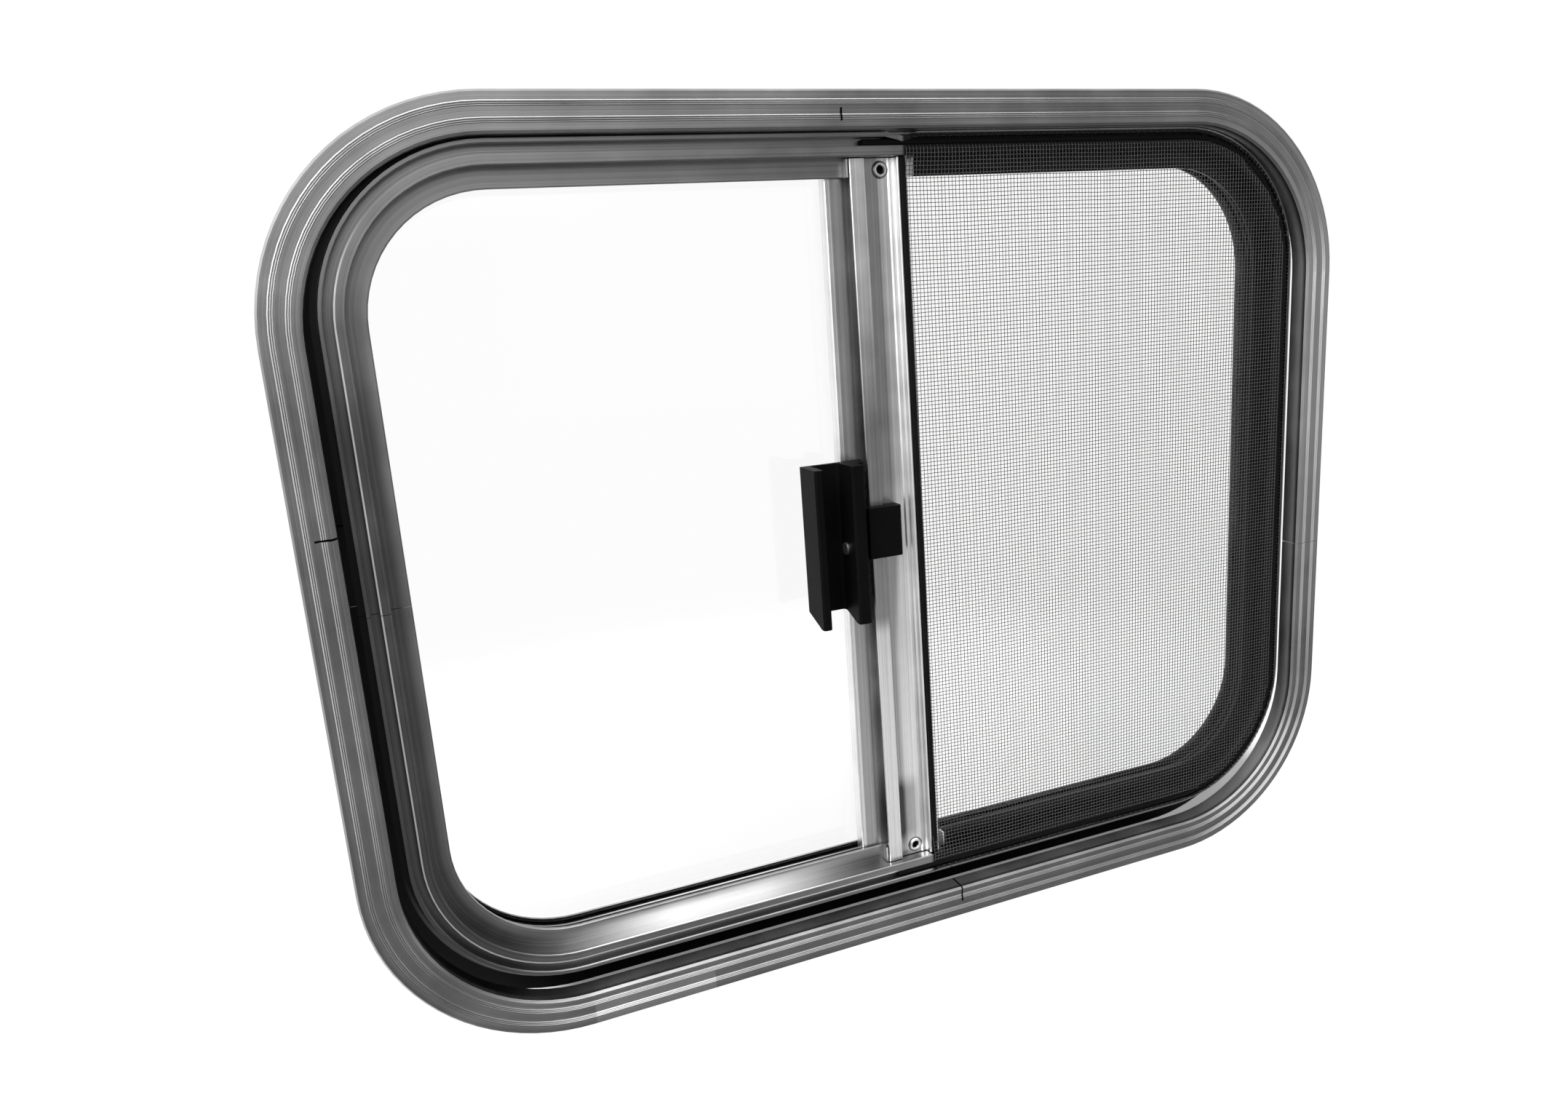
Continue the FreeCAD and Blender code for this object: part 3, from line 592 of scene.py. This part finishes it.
FINISHES = {
    "main_frame": frame_metal,
    "clamp_ring": ring_metal,
    "sash_run_channel": rubber,
    "fixed_glass_channel": rubber,
    "fixed_glass": glass,
    "division_bar": stile_metal,
    "sash_glass": glass,
    "sash_stile": stile_metal,
    "stile_pile_seal": rubber,
    "centre_mullion": upright_metal,
    "mullion_top_rivet": rivet_metal,
    "mullion_bottom_rivet": rivet_metal,
    "mullion_top_foot": rivet_metal,
    "mullion_bottom_foot": rivet_metal,
    "screen_mesh": cloth,
    "screen_spline": rubber,
    "mullion_spline": rubber,
    "latch_grip": plastic,
    "latch_base": plastic,
    "latch_catch": plastic,
    "latch_screw": rivet_metal,
}
for node, finish in FINISHES.items():
    dress(node, finish)


def woven_tree():
    """The node tree that weaves the cloth: wavy cross threads over and under straighter long ones."""
    group = bpy.data.node_groups.new("woven_screen", "GeometryNodeTree")
    group.interface.new_socket(name="Geometry", in_out="OUTPUT", socket_type="NodeSocketGeometry")
    for name in ("Pitch", "Thread radius", "Lift", "Left edge", "Cloth inset"):
        group.interface.new_socket(name=name, in_out="INPUT", socket_type="NodeSocketFloat")
    for name in ("Threads across", "Threads up"):
        group.interface.new_socket(name=name, in_out="INPUT", socket_type="NodeSocketInt")
    tree = Tree(group)
    given = tree.node("NodeGroupInput", {}, {}).socket.node
    inputs = {output.name: Value(tree, output) for output in given.outputs if output.name}
    pitch = inputs["Pitch"]
    radius = inputs["Thread radius"]
    left = inputs["Left edge"]
    columns = inputs["Threads across"]
    rows = inputs["Threads up"]
    position = tree.node("GeometryNodeInputPosition", {}, {})
    x, y, z = tree.split(position)
    low = FRAME_MIDDLE.z - (rows - 1) * pitch / 2

    def level(inset, at_x):
        """The cloth's depth behind the ring's face, down under the cord and up on the nose."""
        sunk = tree.between(at_x - left, *SUNK_SIDES) * tree.between(inset, *SUNK_INSETS)
        sheet = LIP_LEVEL + (MULLION_LEVEL - LIP_LEVEL) * sunk
        buried = tree.between(inset, *BURIED_INSETS)
        outside = tree.between(inset, *OUTSIDE_INSETS)
        dipped = sheet + (BURIED_LEVEL - sheet) * buried
        return RING_FACE + dipped + (NOSE_LEVEL - dipped) * outside

    def copies(thread, count, start, step):
        """The thread repeated along a row of evenly spaced points."""
        settings = {"mode": "OFFSET", "count_mode": "TOTAL"}
        row = {"Count": count, "Start Location": start, "Offset": step}
        points = tree.node("GeometryNodeMeshLine", settings, row)
        placed = tree.node("GeometryNodeInstanceOnPoints", {}, {"Points": points, "Instance": thread})
        return tree.node("GeometryNodeRealizeInstances", {}, {"Geometry": placed})

    def thread(start, end, count):
        """A straight thread with evenly spaced points."""
        line = tree.node("GeometryNodeCurvePrimitiveLine", {"mode": "POINTS"}, {"Start": start, "End": end})
        return tree.node("GeometryNodeResampleCurve", {}, {"Curve": line, "Count": count})

    def laid(threads, where):
        """The threads with each of their points moved to its place."""
        return tree.node("GeometryNodeSetPosition", {}, {"Geometry": threads, "Position": where})

    def uneven(across, layer, up, detail, shift):
        """How far a point of a thread strays from its even place."""
        return (tree.noise(tree.join(x * across, layer, z * up), 1.0, detail) - 0.5) * shift

    # Cross threads: one point at each crossing
    cross = thread(tree.join(left, 0.0, 0.0), tree.join(left + (columns - 1) * pitch, 0.0, 0.0), columns)
    cross = copies(cross, rows, tree.join(0.0, 0.0, low), tree.join(0.0, 0.0, pitch))
    side = ((x - left) * HALF_WAVE).cosine() * ((z - low) * HALF_WAVE).cosine()
    inset = tree.inset(x, z, FRAME_MIDDLE)
    height = level(inset, x) + side * inputs["Lift"]
    cross = laid(cross, tree.join(x, height, z + uneven(*WAVER) + uneven(*DRIFT)))
    beyond = {"Geometry": cross, "Selection": inset.below(inputs["Cloth inset"])}
    cross = tree.node("GeometryNodeDeleteGeometry", {"domain": "POINT"}, beyond)

    # Long threads: few points, closer together towards the ends
    upright = thread((0.0, 0.0, -1.0), (0.0, 0.0, 1.0), LONG_THREAD_POINTS)
    upright = copies(upright, columns, tree.join(left, 0.0, 0.0), tree.join(pitch, 0.0, 0.0))
    reach = CORNER_RADIUS - inputs["Cloth inset"]
    turn_x = FRAME_MIDDLE.x + HALF_WIDTH - CORNER_RADIUS
    past = (x - turn_x).at_least(0.0)
    half = (reach * reach - past * past).at_least(0.0).root() + STRAIGHT_UP
    eased = (z * (math.pi / 2)).sine() * half + FRAME_MIDDLE.z
    upright = laid(upright, tree.join(x, y, eased))
    inset_up = tree.inset(x, z, FRAME_MIDDLE)
    upright = laid(upright, tree.join(x + uneven(*SWAY), level(inset_up, x), z))

    circle = {"Resolution": THREAD_SIDES, "Radius": radius}
    ring = tree.node("GeometryNodeCurvePrimitiveCircle", {"mode": "RADIUS"}, circle)
    tubes = []
    for threads in (cross, upright):
        tubes.append(tree.node("GeometryNodeCurveToMesh", {}, {"Curve": threads, "Profile Curve": ring}))
    whole = tree.node("GeometryNodeJoinGeometry", {}, {"Geometry": tubes})
    solid = tree.node("GeometryNodeRealizeInstances", {}, {"Geometry": whole})
    smooth = tree.node("GeometryNodeSetShadeSmooth", {}, {"Geometry": solid})
    dressed = tree.node("GeometryNodeSetMaterial", {}, {"Geometry": smooth, "Material": cloth.material})
    tree.node("NodeGroupOutput", {}, {"Geometry": dressed})
    return group


def grow(name, group, sizes):
    """Runs a node tree once and keeps its result as a plain mesh."""
    seed = bpy.data.objects.new(name + "_seed", bpy.data.meshes.new(name + "_seed"))
    bpy.context.scene.collection.objects.link(seed)
    modifier = seed.modifiers.new("grow", "NODES")
    modifier.node_group = group
    for item in group.interface.items_tree:
        if item.in_out == "INPUT":
            modifier[item.identifier] = sizes[item.name]
    bpy.context.view_layer.update()
    evaluated = seed.evaluated_get(bpy.context.evaluated_depsgraph_get())
    mesh = bpy.data.meshes.new_from_object(evaluated)
    mesh.name = name
    seed.modifiers.remove(modifier)
    bpy.data.objects.remove(seed)
    made = bpy.data.objects.new(name, mesh)
    bpy.context.scene.collection.objects.link(made)
    return made


def woven_screen():
    """The insect cloth, stretched over the right opening and held by the rubber cord."""
    left = (SPLINE_LOW.x + SPLINE_HIGH.x) / 2
    right = FRAME_MIDDLE.x + HALF_WIDTH - CLOTH_EDGE_INSET
    height = 2 * (HALF_HEIGHT - CLOTH_EDGE_INSET)
    sizes = {
        "Pitch": THREAD_PITCH,
        "Thread radius": THREAD_RADIUS,
        "Lift": CLOTH_LIFT,
        "Left edge": left,
        "Cloth inset": CLOTH_EDGE_INSET,
        "Threads across": int((right - left) / THREAD_PITCH) + 1,
        "Threads up": int(height / THREAD_PITCH),
    }
    cloth_piece = grow("woven_screen", woven_tree(), sizes)
    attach(cloth_piece, "root")
    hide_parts("screen_mesh")


def add_camera():
    """The camera that took the photograph."""
    camera = bpy.data.cameras.new("photo_camera")
    camera.sensor_width = SENSOR_MM
    camera.lens = LENS_MM
    camera.clip_start = CAMERA_NEAR
    thing = bpy.data.objects.new("photo_camera", camera)
    bpy.context.scene.collection.objects.link(thing)
    forward = CAMERA_FORWARD.normalized()
    right = (CAMERA_RIGHT - forward * CAMERA_RIGHT.dot(forward)).normalized()
    up = right.cross(forward)
    turned = Matrix((right, up, -forward)).transposed().to_4x4()
    face = Vector((RING_MIDDLE.x, RING_FACE, RING_MIDDLE.z))
    thing.matrix_world = Matrix.Translation(face + CAMERA_PLACE) @ turned
    bpy.context.scene.camera = thing


def add_world():
    """A dim room in front of the window and a white background behind it."""
    world = bpy.data.worlds.new("studio_room")
    bpy.context.scene.world = world
    world.use_nodes = True
    tree = Tree(world.node_tree)
    camera, glossy, through = tree.rays()
    side, ahead, up = tree.split(tree.node("ShaderNodeTexCoord", {}, {}, "Generated"))
    seen = (camera + through + glossy * tree.between(ahead, *BEHIND_WINDOW)).at_most(1.0)
    left_wall = tree.between(side, *LEFT_WALL_SIDES)
    left_wall = left_wall * tree.between(up, *LEFT_WALL_UPPER) * tree.between(up, *LEFT_WALL_LOWER)
    upper_wall = tree.between(side, *UPPER_WALL_SIDES) * tree.between(up, *UPPER_WALL_LOWER)
    room = ROOM_LEVEL + LEFT_WALL_LEVEL * left_wall + UPPER_WALL_LEVEL * upper_wall
    for level, sides, heights in ROOM_AREAS.values():
        room = room + level * tree.span(side, *sides) * tree.span(up, *heights)
    room = room + CEILING_LEVEL * tree.between(up, *CEILING_LOWER)
    background = tree.nodes["Background"]
    tree.feed(background.inputs["Strength"], room + (1.0 - room) * seen)
    background.inputs["Color"].default_value = (1, 1, 1, 1)


def contact_shadow(floor, x, y):
    """1 where the floor is dark under the window."""
    foot = floor.span(y, *CONTACT_BAND) * floor.within(abs(x), *CONTACT_EDGE)
    past = x - CURVE_START
    drift = abs(y - CURVE_OFFSET - past * CURVE_SLOPE - past * past * CURVE_BEND)
    curve = floor.span(x, *CURVE_SIDE_BAND) * floor.within(drift, *CURVE_EDGE)
    return foot.at_least(CURVE_STRENGTH * curve)


def pale_floor():
    """The floor's finish: white to the camera, with the shadow kept near the window, dark in front of it,
    and with a painted shadow under it.
    """
    floor = Material("pale_floor", Roughness=FLOOR_ROUGHNESS)
    x, y, z = floor.place()
    front = floor.between(y, *DARK_FRONT)
    away = floor.between((x * x + y * y).root(), *WHITE_DISTANCES).at_least(floor.between(y, *WHITE_FRONT))
    beneath = contact_shadow(floor, x, y)
    # Painted shadow: the base colour is dark under the window and in its curved end, and dark in front of
    # the window
    floor.drive("Base Color", floor.blend(front.at_least(beneath), FLOOR_PALE, FLOOR_DARK))
    camera, glossy, through = floor.rays()
    white = floor.node("ShaderNodeEmission", {}, {"Color": (1, 1, 1, 1), "Strength": 1.0})
    seen = (camera + through + glossy * floor.between(y, *MIRRORED_BACK)).at_most(1.0)
    whiteness = FLOOR_NEAR_WHITE + (1 - FLOOR_NEAR_WHITE) * away
    factor = seen * whiteness * (1.0 - CONTACT_STRENGTH * beneath)
    diffuse = Value(floor, floor.shader.outputs[0])
    mixed = floor.node("ShaderNodeMixShader", {}, {0: factor, 1: diffuse, 2: white})
    floor.feed(floor.nodes["Material Output"].inputs["Surface"], mixed)
    return floor.material


def add_floor():
    """A pale floor just under the window, which fades to the white background."""
    mesh = bpy.data.meshes.new("studio_floor")
    low = min(RING_LOW.z, FRAME_LOW.z) - FLOOR_GAP
    corners = (
        (-FLOOR_SIDE, FLOOR_FRONT, low),
        (FLOOR_SIDE, FLOOR_FRONT, low),
        (FLOOR_SIDE, FLOOR_BACK, low),
        (-FLOOR_SIDE, FLOOR_BACK, low),
    )
    mesh.from_pydata(corners, [], [(0, 1, 2, 3)])
    floor = bpy.data.objects.new("studio_floor", mesh)
    bpy.context.scene.collection.objects.link(floor)
    mesh.materials.append(pale_floor())


def add_lamp(name, place, size, power):
    """A soft rectangular lamp aimed at the window."""
    lamp = bpy.data.lights.new(name, "AREA")
    lamp.shape = "RECTANGLE"
    lamp.size, lamp.size_y = size
    lamp.energy = power
    thing = bpy.data.objects.new(name, lamp)
    bpy.context.scene.collection.objects.link(thing)
    thing.location = place
    thing.rotation_euler = (WINDOW_MIDDLE - Vector(place)).to_track_quat("-Z", "Y").to_euler()


woven_screen()
add_camera()
add_world()
add_floor()
add_lamp("upper_left_softbox", place=(-1.3, -0.9, 1.3), size=(0.9, 0.9), power=22.0)
add_lamp("top_strip", place=(0.1, -0.5, 1.5), size=(1.4, 0.4), power=10.0)
bpy.context.scene.view_settings.view_transform = "Standard"
